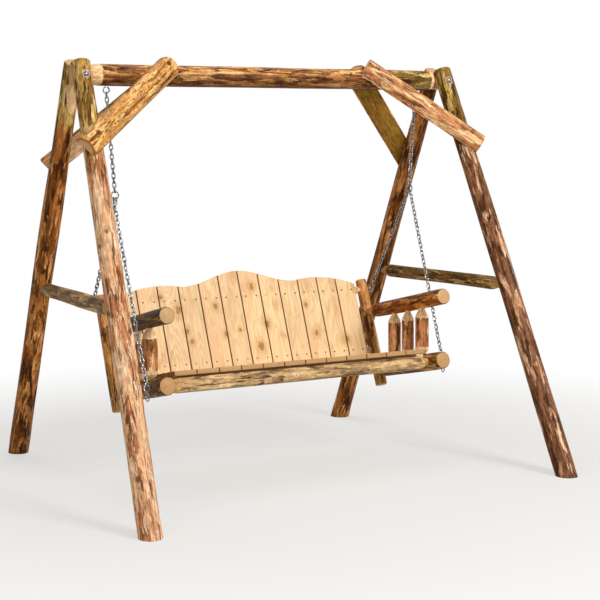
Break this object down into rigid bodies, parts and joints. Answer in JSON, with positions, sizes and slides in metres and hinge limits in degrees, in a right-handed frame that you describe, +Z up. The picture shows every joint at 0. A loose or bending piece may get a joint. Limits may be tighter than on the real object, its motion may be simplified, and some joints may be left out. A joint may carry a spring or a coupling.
{
  "type": "porch swing seat",
  "caption": "Slatted garden swing bench with a scalloped back, hung by chains from an A-frame of peeled logs.",
  "frame": {"origin": "on the ground, in the middle of the four feet, under the middle of the top beam", "axes": "+X along the top beam to the right as seen from in front, +Y from the front of the seat to its back, +Z up"},
  "size_m": [2.052, 1.8014, 1.8018],
  "materials": {
    "log": "skip-peeled log under a satin clear coat, with brown bark left in streaks",
    "pine_board": "planed knotty pine under a satin clear coat",
    "zinc": "bright zinc plate"
  },
  "bodies": {
    "frame": {"beam": "log", "leg_front_left": "log", "leg_front_right": "log", "leg_rear_left": "log", "leg_rear_right": "log", "stretcher_left": "log", "stretcher_right": "log", "brace_front_left": "log", "brace_front_right": "log", "brace_rear_left": "log", "brace_rear_right": "log", "apex_bolts": "zinc", "brace_lags": "zinc", "beam_eyes": "zinc"},
    "hanger": {"upper_chain_left": "zinc", "upper_chain_right": "zinc", "joining_rings": "zinc"},
    "bench": {"front_chain_left": "zinc", "front_chain_right": "zinc", "rear_chain_left": "zinc", "rear_chain_right": "zinc", "seat_eyes": "zinc", "side_rail_left": "log", "side_rail_right": "log", "front_rail": "log", "seat_cleat_front": "pine_board", "seat_cleat_rear": "pine_board", "back_post_left": "log", "back_post_right": "log", "back_rail_upper": "log", "back_rail_lower": "log", "arm_left": "log", "arm_right": "log", "spindles_left": "log", "spindles_right": "log", "seat_slat_1": "pine_board", "seat_slat_2": "pine_board", "seat_slat_3": "pine_board", "seat_slat_4": "pine_board", "seat_slat_5": "pine_board", "seat_slat_6": "pine_board", "seat_slat_7": "pine_board", "seat_slat_8": "pine_board", "seat_slat_9": "pine_board", "seat_slat_10": "pine_board", "seat_slat_11": "pine_board", "seat_slat_12": "pine_board", "back_board_1": "pine_board", "back_board_2": "pine_board", "back_board_3": "pine_board", "back_board_4": "pine_board", "back_board_5": "pine_board", "back_board_6": "pine_board", "back_board_7": "pine_board", "back_board_8": "pine_board", "back_board_9": "pine_board", "back_board_10": "pine_board", "back_board_11": "pine_board", "back_board_12": "pine_board"}
  },
  "joints": [
    {"name": "hanger_swing", "type": "hinge", "parent": "frame", "child": "hanger", "pos_m": [0, 0, 1.637], "axis": [1, 0, 0], "range_deg": [-25, 25]},
    {"name": "bench_rock", "type": "hinge", "parent": "hanger", "child": "bench", "pos_m": [0, 0, 1.20487], "axis": [1, 0, 0], "range_deg": [-12, 12]}
  ]
}
